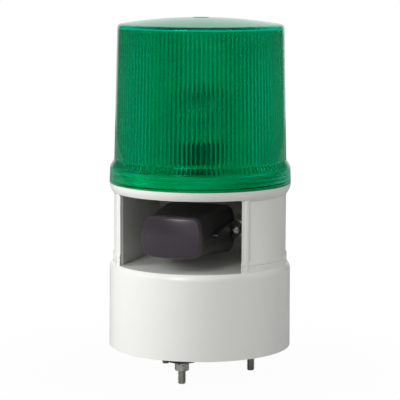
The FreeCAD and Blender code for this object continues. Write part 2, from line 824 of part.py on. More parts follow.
def make_chassis():
    """The plate that carries the lamp and its drive, with screws, pillar and bearing."""
    chassis = drum("lamp_chassis", "chassis_radius", "chassis_height", "chassis_thickness")
    stack(chassis, chassis_places(), "base_screw_radius + screw_clearance", "chassis_height",
          "chassis_thickness", cut=True)
    stack(chassis, [("-duct_place", "0")], "wire_hole_radius", "chassis_height",
          "chassis_thickness", cut=True)
    stack(chassis, ear_places(), "motor_screw_radius", "chassis_height",
          "chassis_thickness", cut=True)
    screw_set("chassis_screws", chassis_places(), "chassis_top", "base_screw_radius",
              "chassis_thickness + chassis_screw_depth", up=False)
    bearing_top = "bearing_bottom + bearing_height"
    turned("socket_pillar", [
        ("0", "chassis_top"),
        ("pillar_foot_radius", "chassis_top"),
        ("pillar_foot_radius", "chassis_top + pillar_foot_height"),
        ("pillar_radius + bearing_thickness", "bearing_bottom"),
        ("pillar_radius", "bearing_bottom"),
        ("pillar_radius", "pillar_top"),
        ("0", "pillar_top"),
    ])
    seat = "pillar_radius + bearing_thickness"
    turned("bearing_ring", [
        ("pillar_radius", "bearing_bottom"),
        (f"{seat} + bearing_flange", "bearing_bottom"),
        (f"{seat} + bearing_flange", "turntable_bottom - running_clearance"),
        (seat, "turntable_bottom - running_clearance"),
        (seat, bearing_top),
        ("pillar_radius", bearing_top),
    ])


def make_lamp():
    """The bayonet bulb in its socket: cap, glass envelope, filament and supports."""
    low = "pillar_top"
    turned("lamp_socket", [
        ("0", low),
        ("socket_radius", low),
        ("socket_radius", f"{low} + socket_height"),
        ("socket_bore_radius", f"{low} + socket_height"),
        ("socket_bore_radius", f"{low} + socket_floor"),
        ("0", f"{low} + socket_floor"),
    ])
    cap_low = f"{low} + socket_floor"
    cap_top = f"{cap_low} + bulb_cap_height"
    turned("bulb_cap", [
        ("0", cap_low),
        ("bulb_cap_radius - bulb_cap_bevel", cap_low),
        ("bulb_cap_radius", f"{cap_low} + bulb_cap_bevel_height"),
        ("bulb_cap_radius", cap_top),
        ("0", cap_top),
    ])
    turned("bulb_glass", bulb_corners(cap_top))
    filament = new_body("filament")
    posts = [("-filament_width/2", "0"), ("filament_width/2", "0")]
    stack(filament, posts, "support_radius", cap_top, f"bulb_centre + support_proud - ({cap_top})")
    coil = new_sketch(filament, "YZ_Plane", "-filament_width/2")
    draw_circle(coil, "0", "bulb_centre", "filament_radius")
    extrude(filament, coil, "filament_width")


def bulb_corners(cap_top):
    """A pear-shaped envelope: a neck, then most of a sphere, hollow."""
    glass, neck, ball = "bulb_glass", "bulb_neck_radius", "bulb_radius"
    join = f"bulb_centre - sqrt({ball}^2 - {neck}^2)"
    inner_join = f"bulb_centre - sqrt(({ball} - {glass})^2 - ({neck} - {glass})^2)"
    return [
        (neck, cap_top),
        (neck, join, f"-({ball})"),
        (ball, "bulb_centre", f"-({ball})"),
        ("0", f"bulb_centre + {ball}"),
        ("0", f"bulb_centre + {ball} - {glass}", f"{ball} - {glass}"),
        (f"{ball} - {glass}", "bulb_centre", f"{ball} - {glass}"),
        (f"{neck} - {glass}", inner_join),
        (f"{neck} - {glass}", cap_top),
    ]


def gear_outline(teeth, turned_by):
    """Corners of a spur gear with straight-flanked teeth, as numbers."""
    share = size("tooth_share")
    wide, narrow = share * size("tooth_root_share"), share * size("tooth_tip_share")
    pitch = size("gear_module") * teeth / 2
    root, tip = pitch - size("tooth_root_depth"), pitch + size("tooth_height")
    corners = []
    for index in range(teeth):
        centre = 2 * math.pi * index / teeth + turned_by
        step = 2 * math.pi / teeth
        for radius, part in ((root, -wide), (tip, -narrow), (tip, narrow), (root, wide)):
            angle = centre + part * step
            corners.append(Vector(radius * math.cos(angle), radius * math.sin(angle), 0))
    return corners


def gear_solid(teeth, turned_by, bore, height):
    corners = gear_outline(teeth, turned_by)
    rim = Part.makePolygon(corners + corners[:1])
    solid = Part.Face(Part.Wire(rim.Edges)).extrude(Vector(0, 0, height))
    return solid.cut(Part.makeCylinder(bore, height))


def make_drive():
    """The turntable with its ring gear, and the pinion that drives it."""
    low = size("turntable_bottom")
    bore = size("pillar_radius + bearing_thickness + running_clearance")
    hub = Part.makeCylinder(size("turntable_hub_radius"), size("turntable_height"))
    hub = hub.cut(Part.makeCylinder(bore, size("turntable_height")))
    teeth, pinion_teeth = int(size("gear_teeth")), int(size("pinion_teeth"))
    ring = gear_solid(teeth, 0.0, bore, size("gear_height"))
    add_feature("turntable", hub.fuse(ring), Vector(0, 0, low))
    phase = pinion_phase(math.radians(size("motor_angle")), teeth, pinion_teeth)
    pinion = gear_solid(pinion_teeth, phase, size("motor_shaft_radius"), size("gear_height"))
    add_feature("pinion", pinion, Vector(size(MOTOR_X), size(MOTOR_Y), low))


def pinion_phase(angle, teeth, pinion_teeth):
    """Turns the pinion so that a gap of it faces a tooth of the ring gear."""
    step = 2 * math.pi / teeth
    nearest = round(angle / step) * step
    offset = (nearest - angle) * teeth / pinion_teeth
    return angle + math.pi - offset + math.pi / pinion_teeth


def add_feature(label, shape, place):
    feature = doc.addObject("Part::Feature", label)
    feature.Label = label
    feature.Shape = shape
    feature.Placement = FreeCAD.Placement(place, FreeCAD.Rotation())


MOTOR_X = "(gear_module * (gear_teeth + pinion_teeth)/2 + gear_slack) * cos(motor_angle * 1 deg)"
MOTOR_Y = "(gear_module * (gear_teeth + pinion_teeth)/2 + gear_slack) * sin(motor_angle * 1 deg)"


def ear_places():
    """Where the motor's two ears are screwed down, either side of its can."""
    places = []
    for sign in ("-", ""):
        places.append((f"{MOTOR_X} - ({sign}motor_ear) * sin(motor_angle * 1 deg)",
                       f"{MOTOR_Y} + ({sign}motor_ear) * cos(motor_angle * 1 deg)"))
    return places


def make_motor():
    """The flat motor on its ears, its shaft and its two screws."""
    low = "chassis_top"
    here = [(MOTOR_X, MOTOR_Y)]
    motor = new_body("motor")
    stack(motor, here, "motor_radius", low, "motor_height")
    stack(motor, ear_places(), "motor_ear_radius", low, "motor_ear_thickness")
    stack(motor, here, "motor_shaft_radius + running_clearance",
          f"{low} + motor_height - motor_shaft_depth", "motor_shaft_depth", cut=True)
    stack(motor, ear_places(), "motor_screw_radius", low, "motor_ear_thickness", cut=True)
    shaft = new_body("motor_shaft")
    stack(shaft, here, "motor_shaft_radius", f"{low} + motor_height - motor_shaft_depth + motor_shaft_gap",
          "motor_shaft_depth + gear_height + motor_shaft_proud")
    screw_set("motor_screws", ear_places(), f"{low} + motor_ear_thickness",
              "motor_screw_radius", "motor_ear_thickness + chassis_thickness", up=False)


def make_reflector():
    """Half a bell of thin bright sheet behind the bulb, on a foot on the turntable."""
    foot = "turntable_top"
    skin = "reflector_thickness"
    body = new_body("reflector")
    sketch = new_sketch(body, "XZ_Plane")
    draw_outline(sketch, [
        ("pillar_radius + bearing_thickness + reflector_gap", foot),
        ("reflector_radius", foot),
        ("reflector_radius", "reflector_bend", "-reflector_curve"),
        ("reflector_crown_radius", "reflector_crown"),
        ("reflector_crown_radius", f"reflector_crown - {skin}",
         f"reflector_curve - {skin}"),
        (f"reflector_radius - {skin}", "reflector_bend"),
        (f"reflector_radius - {skin}", f"{foot} + reflector_foot"),
        ("pillar_radius + bearing_thickness + reflector_gap", f"{foot} + reflector_foot"),
    ])
    turn(body, sketch, angle=size("reflector_sweep"))
    body.setExpression("Placement.Rotation.Angle", bound("reflector_turn"))


def make_horn():
    """The black flared horn: driver chamber, throat and mouth, side fins and screw ears."""
    axis = "horn_axis_height"
    body = new_body("horn_body")
    front = cushion_corners("horn_front_width", "horn_front_height", "horn_corner", axis)
    rear_axis = f"({axis} - horn_rear_sag)"
    rear = cushion_corners("horn_rear_width", "horn_rear_height", "horn_corner", rear_axis)
    loft(body, [(front, "horn_front"), (rear, "horn_rear")])
    for sign in (-1, 1):
        fin = new_sketch(body, "YZ_Plane", f"{sign} * fin_root")
        draw_outline(fin, [
            ("fin_back", f"{axis} - fin_radius", "-fin_radius"),
            ("fin_back + fin_radius", axis, "-fin_radius"),
            ("fin_back", f"{axis} + fin_radius", "-fin_side_curve"),
            ("fin_tip", f"{axis} + fin_tip_radius", "-fin_tip_radius"),
            ("fin_tip - fin_tip_radius", axis, "-fin_tip_radius"),
            ("fin_tip", f"{axis} - fin_tip_radius", "-fin_side_curve"),
        ])
        extrude(body, fin, "fin_outer - fin_root", reverse=sign < 0)
    ears = new_sketch(body, "XZ_Plane", "-ear_front")
    draw_outline(ears, rounded_box_corners("2*ear_end", "2*ear_radius", "0.99*ear_radius", axis))
    extrude(body, ears, "ear_thickness", reverse=True)
    chamber_end = "(horn_front + driver_cavity)"
    throat = f"({chamber_end} + horn_partition)"
    mouth = rounded_box_corners("horn_rear_width - 2*horn_wall", "horn_rear_height - 2*horn_wall",
                                "throat_corner", rear_axis)
    narrow = rounded_box_corners("throat_width", "throat_width", "throat_corner", axis)
    loft(body, [(narrow, throat), (mouth, "horn_rear")], cut=True)
    for radius, start, depth in (
            ("driver_plate_radius + screw_clearance", "horn_front", "driver_cavity"),
            ("throat_width/2 - throat_step", chamber_end, "horn_partition")):
        chamber = new_sketch(body, "XZ_Plane", f"-({start})")
        draw_circle(chamber, "0", axis, radius)
        extrude(body, chamber, depth, cut=True, reverse=True)
    holes = new_sketch(body, "XZ_Plane", "-ear_front")
    for sign in ("-", ""):
        draw_circle(holes, f"{sign}ear_screw_x", axis, "siren_screw_radius + screw_clearance")
    extrude(body, holes, "ear_thickness", cut=True, reverse=True)


def loft(body, sections, cut=False):
    """A loft along Y through outlines, each (corners, place along Y)."""
    sketches = []
    for corners, place in sections:
        sketch = new_sketch(body, "XZ_Plane", f"-({place})")
        draw_outline(sketch, corners)
        sketch.Visibility = False
        sketches.append(sketch)
    doc.recompute()
    kind = "PartDesign::SubtractiveLoft" if cut else "PartDesign::AdditiveLoft"
    feature = body.newObject(kind, body.Name + "_loft")
    feature.Profile = sketches[0]
    feature.Sections = sketches[1:]
    feature.Ruled = True
    doc.recompute()
    return feature


def make_front_cap():
    """The closed convex cap in front of the driver, with a spigot that holds it."""
    blank = new_body("cap_blank")
    sketch = new_sketch(blank, "XZ_Plane", "-horn_front")
    draw_outline(sketch, cushion_corners(
        "horn_front_width", "horn_front_height", "horn_corner", "horn_axis_height"))
    extrude(blank, sketch, "cap_depth")
    spigot = new_sketch(blank, "XZ_Plane", "-horn_front")
    draw_circle(spigot, "0", "horn_axis_height", "magnet_radius - spigot_inset")
    extrude(blank, spigot, "driver_cavity - diaphragm_thickness - driver_plate_height"
            " - magnet_height", reverse=True)
    crown = doc.addObject("Part::Sphere", "cap_crown")
    crown.setExpression("Radius", bound("cap_crown"))
    crown.setExpression("Placement.Base.y", bound("horn_front - cap_depth + cap_crown"))
    crown.setExpression("Placement.Base.z", bound("horn_axis_height"))
    domed = doc.addObject("Part::Common", "cap_domed")
    domed.Base, domed.Tool = blank, crown
    doc.recompute()
    front = size("horn_front") - size("cap_edge")
    rim = [number for number, edge in enumerate(domed.Shape.Edges, start=1)
           if all(vertex.Point.y < front for vertex in edge.Vertexes)]
    cap = doc.addObject("Part::Fillet", "front_cap")
    cap.Label = "front_cap"
    cap.Base = domed
    cap.Edges = [(number, size("cap_edge"), size("cap_edge")) for number in rim]
    doc.recompute()


def make_driver():
    """Magnet, plate and diaphragm, stacked on the partition inside the horn."""
    place = "(horn_front + driver_cavity)"
    for label, radius, height in (
            ("diaphragm", "diaphragm_radius", "diaphragm_thickness"),
            ("driver_plate", "driver_plate_radius", "driver_plate_height"),
            ("driver_magnet", "magnet_radius", "magnet_height")):
        body = new_body(label)
        sketch = new_sketch(body, "XZ_Plane", f"-({place})")
        draw_circle(sketch, "0", "horn_axis_height", radius)
        extrude(body, sketch, height)
        place = f"({place} - {height})"


def make_bracket():
    """The U bracket behind the horn, whose turned-in flanges take the siren's screws."""
    axis = "horn_axis_height"
    half = "bracket_width/2"
    inner = "(bracket_outer - bracket_thickness)"
    back = "(bracket_web + bracket_thickness)"
    body = new_body("horn_bracket")
    plan = new_sketch(body, "XY_Plane", f"{axis} - {half}")
    flange = "(horn_rear_width/2 + bracket_gap)"
    draw_outline(plan, [
        (f"-{flange}", "ear_back"),
        (f"-{flange}", "ear_back + bracket_thickness"),
        (f"-{inner}", "ear_back + bracket_thickness"),
        (f"-{inner}", "bracket_web"),
        (inner, "bracket_web"),
        (inner, "ear_back + bracket_thickness"),
        (flange, "ear_back + bracket_thickness"),
        (flange, "ear_back"),
        ("bracket_outer", "ear_back"),
        ("bracket_outer", back),
        ("-bracket_outer", back),
        ("-bracket_outer", "ear_back"),
    ])
    extrude(body, plan, "bracket_width")
    for radius, start, across in (
            ("siren_screw_radius - screw_clearance", "ear_back", "ear_screw_x"),
            ("base_screw_radius + screw_clearance", "bracket_web", "bracket_boss_x")):
        holes = new_sketch(body, "XZ_Plane", f"-({start})")
        for sign in ("-", ""):
            draw_circle(holes, sign + across, axis, radius)
        extrude(body, holes, "bracket_thickness", cut=True, reverse=True)
    front_screws("siren_screws", "ear_screw_x", "ear_front", "siren_screw_radius",
                 "ear_thickness + bracket_thickness + siren_screw_reach")
    front_screws("bracket_screws", "bracket_boss_x", "bracket_web", "base_screw_radius",
                 "bracket_thickness + bracket_screw_reach")


def front_screws(label, across, seat, radius, length):
    """A pair of pan-head screws driven from the front, with their heads on the seat."""
    body = new_body(label)
    for wide, long, forward in (
            (f"{radius} * screw_head_ratio", "screw_head_height", True),
            (f"{radius} - screw_clearance", length, False)):
        sketch = new_sketch(body, "XZ_Plane", f"-({seat})")
        for sign in ("-", ""):
            draw_circle(sketch, sign + across, "horn_axis_height", wide)
        extrude(body, sketch, long, reverse=not forward)


def build():
    for make in (make_base_housing, make_middle_housing, make_lens_gasket, make_lens,
                 make_base_plate, make_mounting, make_grommets, make_electronics,
                 make_chassis, make_lamp, make_drive, make_motor, make_reflector,
                 make_horn, make_front_cap, make_driver, make_bracket):
        make()
    screw_set("housing_screws", cheek_screw_places(), "base_height - deck_thickness",
              "base_screw_radius", "screw_depth", up=True)
    doc.recompute()


def sub_parts():
    """Every finished piece: the objects that nothing else in the document uses."""
    kinds = ("PartDesign::Body", "Part::Feature", "Part::Fillet")
    return [thing for thing in doc.Objects
            if thing.TypeId in kinds and thing.Label != "cap_blank"]


def check():
    for thing in doc.Objects:
        if "Invalid" in thing.State or "Error" in thing.State:
            raise RuntimeError(f"{thing.Name} failed: {thing.State}")
    for thing in sub_parts():
        if thing.Shape.isNull() or not thing.Shape.isValid() or not thing.Shape.Solids:
            raise RuntimeError(f"{thing.Label} has no valid solid")


def export():
    os.makedirs("parts", exist_ok=True)
    for thing in sub_parts():
        thing.Shape.exportStep(os.path.join("parts", thing.Label + ".step"))


build()
check()
export()
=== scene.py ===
"""Dresses the revolving warning light with siren: surfaces, fine shapes, light and camera.

Every CAD node gets a finished piece. Most are softened copies of the solid; the lens,
screws, nuts, studs and spring washers are built anew. Metres, +Z up, window towards -Y.
"""

import json
import math

import bmesh
import bpy
from bpy.props import FloatProperty, FloatVectorProperty, IntProperty, PointerProperty
from mathutils import Matrix, Vector


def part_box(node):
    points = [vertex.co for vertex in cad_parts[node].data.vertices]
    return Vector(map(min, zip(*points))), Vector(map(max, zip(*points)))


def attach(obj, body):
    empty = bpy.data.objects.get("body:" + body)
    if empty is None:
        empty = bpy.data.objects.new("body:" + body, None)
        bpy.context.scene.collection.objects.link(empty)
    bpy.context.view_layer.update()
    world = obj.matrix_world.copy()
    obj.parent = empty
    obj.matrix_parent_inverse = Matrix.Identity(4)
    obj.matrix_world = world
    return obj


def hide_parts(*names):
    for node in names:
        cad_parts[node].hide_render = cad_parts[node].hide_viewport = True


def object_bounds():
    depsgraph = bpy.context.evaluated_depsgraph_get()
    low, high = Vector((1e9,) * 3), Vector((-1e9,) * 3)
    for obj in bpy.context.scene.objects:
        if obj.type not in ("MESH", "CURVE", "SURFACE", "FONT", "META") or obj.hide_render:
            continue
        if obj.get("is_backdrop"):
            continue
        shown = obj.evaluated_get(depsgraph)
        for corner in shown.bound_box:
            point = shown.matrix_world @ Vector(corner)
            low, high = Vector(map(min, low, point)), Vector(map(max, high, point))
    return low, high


bl_info = {
    "name": "Warning light with siren",
    "version": (1, 0, 0),
    "blender": (4, 5, 0),
    "location": "3D View > Sidebar > Warning Light",
    "description": "Models the lens, housing, siren and lamp of a revolving warning light",
    "category": "Object",
}

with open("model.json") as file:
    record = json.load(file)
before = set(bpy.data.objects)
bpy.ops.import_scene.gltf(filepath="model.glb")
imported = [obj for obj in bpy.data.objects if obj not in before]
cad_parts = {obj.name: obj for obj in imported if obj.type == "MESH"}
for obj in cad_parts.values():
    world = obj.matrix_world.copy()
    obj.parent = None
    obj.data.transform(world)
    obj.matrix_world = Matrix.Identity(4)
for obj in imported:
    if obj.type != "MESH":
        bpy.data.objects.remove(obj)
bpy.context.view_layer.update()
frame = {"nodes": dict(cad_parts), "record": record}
SLOT_OF = {part["node"]: part["material_slot"] for part in frame["record"]["subparts"]}

MM = 0.001
UP = Vector((0, 0, 1))
REARWARDS = Vector((0, 1, 0))
JOIN_DISTANCE = 0.001 * MM

# Edges that turn by less than this stay smooth. Sharper ones are softened.
FINE_ANGLE = math.radians(32)

# The photograph was taken from this far round to the right.
VIEW_AZIMUTH = math.radians(19.0)

# A ray crosses the lens's two walls and runs along inside them before it comes out.
LENS_BOUNCES = 32


class Signal:
    """A shader socket, or a plain number, that takes part in Python arithmetic."""

    def __init__(self, tree, value):
        self.tree = tree
        self.value = value

    def wire(self, socket):
        """Feed this signal into a node's input socket."""
        if isinstance(self.value, bpy.types.NodeSocket):
            self.tree.links.new(self.value, socket)
        else:
            socket.default_value = self.value

    def node(self, kind, settings=None, inputs=None, output=0):
        """Any node: settings go first, then values or links of its sockets."""
        made = self.tree.nodes.new(kind)
        for name, value in (settings or {}).items():
            setattr(made, name, value)
        for name, value in (inputs or {}).items():
            signal = value if isinstance(value, Signal) else Signal(self.tree, value)
            signal.wire(made.inputs[name])
        return Signal(self.tree, made.outputs[output])

    def math(self, operation, *others):
        return self.node("ShaderNodeMath", {"operation": operation},
                         dict(enumerate((self, *others))))

    def __add__(self, other):
        return self.math("ADD", other)

    __radd__ = __add__

    def __sub__(self, other):
        return self.math("SUBTRACT", other)

    def __rsub__(self, other):
        return Signal(self.tree, other).math("SUBTRACT", self)

    def __mul__(self, other):
        return self.math("MULTIPLY", other)

    __rmul__ = __mul__

    def __pow__(self, other):
        return self.math("POWER", other)

    def clamp(self):
        return self.node("ShaderNodeClamp", {}, {"Value": self})

    def part(self, axis):
        """This vector's part along axis 0, 1 or 2."""
        return self.node("ShaderNodeSeparateXYZ", {}, {"Vector": self}, axis)

    def blend(self, low, high):
        """Colours low to high as this signal goes from 0 to 1."""
        return self.node("ShaderNodeMix", {"data_type": "RGBA"},
                         {"Factor": self, 6: low, 7: high}, 2)

    def light_path(self, output):
        """What kind of ray is being traced."""
        return self.node("ShaderNodeLightPath", output=output)


CAMERA_RAY, SHADOW_RAY, GLOSSY_RAY, TRANSMISSION_RAY = 0, 1, 3, 6


def opaque(colour, brightness=1.0):
    """A colour with full alpha, made brighter or darker."""
    return (*(min(1.0, part * brightness) for part in colour[:3]), 1.0)


class Finish:
    """A material with one Principled shader, and the patterns that its surface uses."""

    def __init__(self, name, **sockets):
        self.material = bpy.data.materials.new(name + "_finish")
        self.material.use_nodes = True
        self.tree = self.material.node_tree
        self.shader = self.tree.nodes["Principled BSDF"]
        self.output = self.tree.nodes["Material Output"]
        self.place = self.signal(None).node("ShaderNodeTexCoord", output=3)
        for socket, value in sockets.items():
            self.feed(socket.replace("_", " "), value)

    def signal(self, value):
        return Signal(self.tree, value)

    def feed(self, socket, value):
        signal = value if isinstance(value, Signal) else self.signal(value)
        signal.wire(self.shader.inputs[socket])

    def noise(self, scale, detail=3.0, stretch=(1, 1, 1)):
        """Grey noise with features about 1 / scale metres across."""
        placed = self.place.node("ShaderNodeMapping", {},
                                 {"Vector": self.place, "Scale": stretch})
        return self.place.node("ShaderNodeTexNoise", {}, {
            "Vector": placed, "Scale": scale, "Detail": detail})

    def uneven(self, socket, middle, *patterns):
        """Feed a socket with middle, moved about by (pattern, whole swing) pairs."""
        for pattern, swing in patterns[::-1]:
            middle = (pattern - 0.5) * swing + middle
        self.feed(socket, middle)

    def raise_by(self, height, depth):
        """Bump the surface by height (0 to 1) times depth in metres."""
        self.feed("Normal", height.node("ShaderNodeBump", {}, {
            "Height": height, "Distance": depth}))

    def surface(self, signal):
        """Use a shader that stands before the Principled one."""
        signal.wire(self.output.inputs["Surface"])


def painted(name, colour, roughness, spread=0.04):
    """A moulded or coated surface: faint mottling in colour, gloss and level."""
    finish = Finish(name)
    cloud = finish.noise(28.0, 4.0)
    fine = finish.noise(1400.0, 2.0)
    finish.feed("Base Color", cloud.blend(opaque(colour, 1 - spread),
                                          opaque(colour, 1 + spread)))
    finish.uneven("Roughness", roughness, (cloud, 0.12), (fine, 0.06))
    finish.raise_by(fine, 0.048 * MM)
    return finish.material


def metal(name, colour, roughness):
    """Bare or plated metal with fine handling marks and uneven gloss."""
    finish = Finish(name, Metallic=1.0)
    cloud = finish.noise(60.0, 4.0)
    scratch = finish.noise(900.0, 3.0)
    finish.feed("Base Color", cloud.blend(opaque(colour, 0.82), opaque(colour)))
    finish.uneven("Roughness", roughness, (scratch, 0.25), (cloud, 0.2))
    finish.raise_by(scratch, 0.03 * MM)
    return finish.material


def rubber_finish(name, colour):
    """Moulded rubber: dull, with a little dust in scattered patches."""
    finish = Finish(name)
    dust = finish.noise(90.0, 6.0)
    fine = finish.noise(2200.0, 2.0)
    finish.feed("Base Color", (dust ** 3).blend(opaque(colour), (0.09, 0.09, 0.085, 1.0)))
    finish.uneven("Roughness", 0.62, (dust, 0.2))
    finish.raise_by(fine, 0.08 * MM)
    return finish.material


def lens_finish(name, colour):
    """Clear moulding that lets tinted light through to the lamp; its ribs carry painted
    highlight and shade streaks, darker where the wall is thicker.
    """
    finish = Finish(name, IOR=1.49, Transmission_Weight=1.0, Specular_Tint=opaque(colour),
                    Specular_IOR_Level=0.3)
    flow = finish.noise(45.0, 3.0)
    across, along, up = (finish.place.part(axis) for axis in range(3))
    turn = along.math("ARCTAN2", across)
    thick = (turn * sizes().rib_count).math("COSINE") * 0.5 + 0.5
    foot, top = (corner.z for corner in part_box("lens"))
    flange, crown, sharpness = 17 * MM, 8 * MM, 400.0
    ribbed = (((up - foot - flange) * sharpness).clamp()
              * ((top - crown - up) * sharpness).clamp())
    # Painted highlight and shade along the ribs: lighter where the wall is thin, darker where
    # it is thick, far stronger than the thickness alone would give.
    rib_tint_and_painted_light = ((thick ** 0.6) * 0.8 + flow * 0.2).blend(opaque(colour, 1.2),
                                                         opaque(colour, 0.5))
    even = flow.blend(opaque(colour, 0.85), opaque(colour))
    finish.feed("Base Color", ribbed.blend(even, rib_tint_and_painted_light))
    finish.uneven("Roughness", 0.035, (flow, 0.03))
    finish.raise_by(finish.noise(160.0, 2.0, stretch=(1, 1, 0.2)), 0.015 * MM)
    shadow = finish.place.light_path(SHADOW_RAY)
    veil = finish.place.node("ShaderNodeBsdfTransparent", {}, {"Color": opaque(colour)})
    finish.surface(shadow.node("ShaderNodeMixShader", {}, {
        0: shadow, 1: finish.signal(finish.shader.outputs[0]), 2: veil}))
    return finish.material


def glass_finish(name):
    """The bulb's clear glass, with a trace of haze."""
    finish = Finish(name, IOR=1.45, Transmission_Weight=1.0)
    haze = finish.noise(70.0, 3.0)
    finish.feed("Base Color", haze.blend((0.96, 0.98, 0.97, 1.0), (1.0, 1.0, 1.0, 1.0)))
    finish.uneven("Roughness", 0.02, (haze, 0.04))
    return finish.material


def copied_mesh(node):
    """The CAD node's mesh as a new one with its loose triangles joined."""
    mesh = bmesh.new()
    mesh.from_mesh(frame["nodes"][node].data)
    bmesh.ops.remove_doubles(mesh, verts=mesh.verts, dist=0.002 * MM)
    bmesh.ops.dissolve_limit(mesh, angle_limit=math.radians(0.5), verts=mesh.verts,
                             edges=mesh.edges, delimit={"NORMAL"})
    return mesh


def finished_piece(name, mesh, body, material, replaces=(), bevel=0.0, segments=2):
    """Turn a bmesh into a piece: smooth faces, soft edges, its body, slot and finish."""
    for face in mesh.faces:
        face.smooth = True
    for edge in mesh.edges:
        if len(edge.link_faces) == 2:
            edge.smooth = edge.calc_face_angle(0.0) < FINE_ANGLE
    data = bpy.data.meshes.new(name)
    mesh.to_mesh(data)
    mesh.free()
    piece = bpy.data.objects.new(name, data)
    bpy.context.scene.collection.objects.link(piece)
    if bevel:
        soft = piece.modifiers.new("soft_edges", "BEVEL")
        soft.width = bevel
        soft.segments = segments
        soft.limit_method = "ANGLE"
        soft.angle_limit = FINE_ANGLE
        soft.harden_normals = True
    data.materials.append(material)
    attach(piece, body)
    if replaces:
        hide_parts(*replaces)


def body_of_node(node):
    """The moving body, or the housing, that carries a CAD node."""
    for body, nodes in frame["record"]["behaviour"]["bodies"].items():
        if node in nodes:
            return body
    raise ValueError(f"{node} is in no body")


def dress(node, material, bevel=0.25 * MM, segments=2):
    """Stand a smoothed, soft-edged copy in for a CAD node whose form is right."""
    finished_piece(node + "_form", copied_mesh(node), body_of_node(node),
                   material, (node,), bevel, segments)


def spun(outline, steps, sweep=math.tau, start=0.0):
    """A bmesh turned about Z from a closed outline of (radius, height) pairs.

    A full turn is made as a sixteenth that is doubled four times, which is far quicker.
    """
    mesh = bmesh.new()
    turn = Matrix.Rotation(start, 3, "Z")
    points = [mesh.verts.new(turn @ Vector((radius, 0, height))) for radius, height in outline]
    edges = [mesh.edges.new((points[i], points[(i + 1) % len(points)]))
             for i in range(len(points))]
    full = abs(sweep - math.tau) < 1e-6
    doublings = 4 if full and steps % 16 == 0 else 0
    share = 2 ** doublings
    bmesh.ops.spin(mesh, geom=points + edges, cent=(0, 0, 0), axis=(0, 0, 1),
                   angle=sweep / share, steps=steps // share,
                   use_merge=full and doublings == 0)
    put_in_order(mesh)
    for doubling in range(doublings):
        doubled(mesh, Matrix.Rotation(sweep / share * 2 ** doubling, 4, "Z"))
    bmesh.ops.remove_doubles(mesh, verts=mesh.verts, dist=JOIN_DISTANCE)
    if not full:
        bmesh.ops.holes_fill(mesh, edges=[edge for edge in mesh.edges if edge.is_boundary])
    bmesh.ops.recalc_face_normals(mesh, faces=mesh.faces)
    return mesh


def put_in_order(mesh):
    """Sort edges and faces by their vertices, as a spin leaves them in no fixed order."""
    mesh.verts.index_update()
    for parts in (mesh.edges, mesh.faces):
        listed = sorted(parts, key=lambda part: sorted(vert.index for vert in part.verts))
        ranks = {part: rank for rank, part in enumerate(listed)}
        parts.sort(key=ranks.get)


def doubled(mesh, matrix):
    """Add a copy of everything in the mesh, moved by a matrix."""
    whole = mesh.verts[:] + mesh.edges[:] + mesh.faces[:]
    copied = bmesh.ops.duplicate(mesh, geom=whole)["geom"]
    verts = [part for part in copied if isinstance(part, bmesh.types.BMVert)]
    bmesh.ops.transform(mesh, verts=verts, matrix=matrix)


def rounded(outline, corners, steps=5):
    """An outline of points whose named corners, {index: radius}, are made arcs."""
    made = []
    count = len(outline)
    for index, point in enumerate(outline):
        here = Vector(point)
        if index not in corners:
            made.append(tuple(here))
            continue
        before = (Vector(outline[index - 1]) - here).normalized()
        after = (Vector(outline[(index + 1) % count]) - here).normalized()
        half = before.angle(after) / 2
        radius = corners[index]
        centre = here + (before + after).normalized() * (radius / math.sin(half))
        start = here + before * (radius / math.tan(half)) - centre
        end = here + after * (radius / math.tan(half)) - centre
        for step in range(steps + 1):
            made.append(tuple(centre + arc_point(start, end, step / steps)))
    return made


def arc_point(start, end, share):
    """A point on the short arc from start to end about the origin."""
    angle = start.angle_signed(end)
    return Matrix.Rotation(-angle * share, 2) @ start


def solids_of(node):
    """The places of the corners of each solid in a CAD node."""
    mesh = copied_mesh(node)
    seen = set()
    solids = []
    for first in mesh.verts:
        if first in seen:
            continue
        seen.add(first)
        reached = [first]
        for vert in reached:
            near = [edge.other_vert(vert) for edge in vert.link_edges]
            reached.extend(other for other in near if other not in seen)
            seen.update(near)
        solids.append([vert.co.copy() for vert in reached])
    mesh.free()
    return solids


def joined(meshes):
    """Several bmeshes as one."""
    whole = bmesh.new()
    for mesh in meshes:
        data = bpy.data.meshes.new("part")
        mesh.to_mesh(data)
        mesh.free()
        whole.from_mesh(data)
        bpy.data.meshes.remove(data)
    return whole


def pan_head_screw(head, shank, thick, length):
    """A screw along Z with its seat at 0, a domed head and a cross recess.

    The recess's half width, reach and depth are shares of the head's radius and thickness.
    """
    crown = 0.55 * thick
    half_width, reach, depth, slope = 0.2, 0.62, 0.62, 0.5
    top = [(head * share, thick - crown * share ** 4) for share in
           (0.96, 0.9, 0.82, 0.74, 0.66, 0.58, 0.5, 0.42, 0.34, 0.26, 0.18, 0.1, 0.0)]
    mesh = spun([(0.0, -length), (shank * 0.8, -length), (shank, -length + shank * 0.3),
                 (shank, 0.0), (head, 0.0), (head, thick - crown), *top], 48)
    for vert in mesh.verts:
        if vert.co.z > thick - crown:
            near, far = sorted((abs(vert.co.x) / head, abs(vert.co.y) / head))
            within = min(1.0, max(0.0, half_width - near) * 12)
            within *= min(1.0, max(0.0, reach - far) * 8)
            vert.co.z -= within * thick * (depth - slope * far)
    return mesh


def middle_of(corners):
    """The middle of the box round some places."""
    return (Vector(map(min, zip(*corners))) + Vector(map(max, zip(*corners)))) / 2


